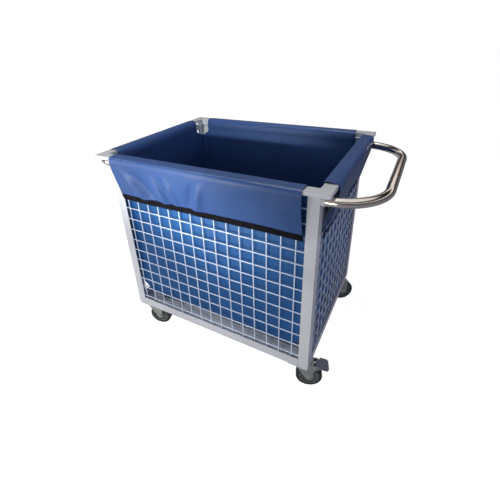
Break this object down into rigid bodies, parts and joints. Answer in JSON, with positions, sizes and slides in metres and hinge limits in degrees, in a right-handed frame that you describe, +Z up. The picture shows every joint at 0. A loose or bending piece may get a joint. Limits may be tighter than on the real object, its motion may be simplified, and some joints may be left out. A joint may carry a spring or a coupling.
{
  "type": "roll cage container",
  "caption": "Wire mesh linen cart with a fabric liner folded over its rim, a tube handle at each end and swivel castors.",
  "frame": {"origin": "on the floor, under the middle of the whole cart", "axes": "+X along the cart towards the push handle, +Y to the back, +Z up"},
  "size_m": [1.113, 0.6964, 0.8562],
  "materials": {
    "frame_paint": "white powder coat, satin",
    "wire_paint": "white powder coat over wire",
    "base_paint": "light grey powder coat, scuffed",
    "liner_cloth": "coated woven polyester, blue",
    "flap_cloth": "coated woven polyester, blue",
    "binding": "black woven binding tape",
    "handle_steel": "polished tube",
    "castor_zinc": "zinc plated pressed steel",
    "bolt_zinc": "zinc plated",
    "wheel_centre_plastic": "grey moulded nylon",
    "tyre_rubber": "dark rubber tread",
    "pedal_paint": "dark slate lacquer"
  },
  "bodies": {
    "root": {"corner_post_front_left": "frame_paint", "corner_post_front_right": "frame_paint", "corner_post_back_left": "frame_paint", "corner_post_back_right": "frame_paint", "base_rail_front": "frame_paint", "base_rail_back": "frame_paint", "base_rail_left": "frame_paint", "base_rail_right": "frame_paint", "base_plate": "base_paint", "castor_bearer_left": "frame_paint", "castor_bearer_right": "frame_paint", "rim_rail_front": "frame_paint", "rim_rail_back": "frame_paint", "rim_rail_left": "frame_paint", "rim_rail_right": "frame_paint", "rim_corner_front_left": "frame_paint", "rim_corner_front_right": "frame_paint", "rim_corner_back_left": "frame_paint", "rim_corner_back_right": "frame_paint", "mesh_front": "wire_paint", "mesh_back": "wire_paint", "mesh_left": "wire_paint", "mesh_right": "wire_paint", "liner_floor": "liner_cloth", "liner_wall_front": "liner_cloth", "liner_wall_back": "liner_cloth", "liner_wall_left": "liner_cloth", "liner_wall_right": "liner_cloth", "flap_front": "flap_cloth", "flap_back": "flap_cloth", "flap_left": "flap_cloth", "flap_right": "flap_cloth", "flap_hem_front": "binding", "flap_hem_back": "binding", "flap_hem_left": "binding", "flap_hem_right": "binding", "handle_right": "handle_steel", "handle_left": "handle_steel", "handle_sockets": "frame_paint", "castor_top_plates": "castor_zinc", "castor_bolts": "bolt_zinc"},
    "swivel_front_left": {"castor_fork_front_left": "castor_zinc", "axle_bolt_front_left": "bolt_zinc"},
    "wheel_front_left": {"wheel_centre_front_left": "wheel_centre_plastic", "tyre_front_left": "tyre_rubber"},
    "swivel_front_right": {"castor_fork_front_right": "castor_zinc", "axle_bolt_front_right": "bolt_zinc"},
    "wheel_front_right": {"wheel_centre_front_right": "wheel_centre_plastic", "tyre_front_right": "tyre_rubber"},
    "brake_front_right": {"brake_pedal_front_right": "pedal_paint"},
    "swivel_back_left": {"castor_fork_back_left": "castor_zinc", "axle_bolt_back_left": "bolt_zinc"},
    "wheel_back_left": {"wheel_centre_back_left": "wheel_centre_plastic", "tyre_back_left": "tyre_rubber"},
    "brake_back_left": {"brake_pedal_back_left": "pedal_paint"},
    "swivel_back_right": {"castor_fork_back_right": "castor_zinc", "axle_bolt_back_right": "bolt_zinc"},
    "wheel_back_right": {"wheel_centre_back_right": "wheel_centre_plastic", "tyre_back_right": "tyre_rubber"}
  },
  "joints": [
    {"name": "swivel_front_left", "type": "hinge", "parent": "root", "child": "swivel_front_left", "pos_m": [-0.3935, -0.268, 0.118], "axis": [0, 0, 1], "continuous": true},
    {"name": "roll_front_left", "type": "hinge", "parent": "swivel_front_left", "child": "wheel_front_left", "pos_m": [-0.36066, -0.2592, 0.05], "axis": [-0.2588, 0.9659, 0], "continuous": true},
    {"name": "swivel_front_right", "type": "hinge", "parent": "root", "child": "swivel_front_right", "pos_m": [0.3405, -0.268, 0.118], "axis": [0, 0, 1], "continuous": true},
    {"name": "roll_front_right", "type": "hinge", "parent": "swivel_front_right", "child": "wheel_front_right", "pos_m": [0.37245, -0.25637, 0.05], "axis": [-0.342, 0.9397, 0], "continuous": true},
    {"name": "brake_front_right", "type": "hinge", "parent": "swivel_front_right", "child": "brake_front_right", "pos_m": [0.39876, -0.24679, 0.104], "axis": [-0.342, 0.9397, 0], "range_deg": [0, 10]},
    {"name": "swivel_back_left", "type": "hinge", "parent": "root", "child": "swivel_back_left", "pos_m": [-0.3935, 0.268, 0.118], "axis": [0, 0, 1], "continuous": true},
    {"name": "roll_back_left", "type": "hinge", "parent": "swivel_back_left", "child": "wheel_back_left", "pos_m": [-0.36002, 0.2739, 0.05], "axis": [-0.1736, 0.9848, 0], "continuous": true},
    {"name": "brake_back_left", "type": "hinge", "parent": "swivel_back_left", "child": "brake_back_left", "pos_m": [-0.33244, 0.27877, 0.104], "axis": [-0.1736, 0.9848, 0], "range_deg": [0, 10]},
    {"name": "swivel_back_right", "type": "hinge", "parent": "root", "child": "swivel_back_right", "pos_m": [0.3405, 0.268, 0.118], "axis": [0, 0, 1], "continuous": true},
    {"name": "roll_back_right", "type": "hinge", "parent": "swivel_back_right", "child": "wheel_back_right", "pos_m": [0.36655, 0.28985, 0.05], "axis": [-0.6428, 0.766, 0], "continuous": true}
  ]
}
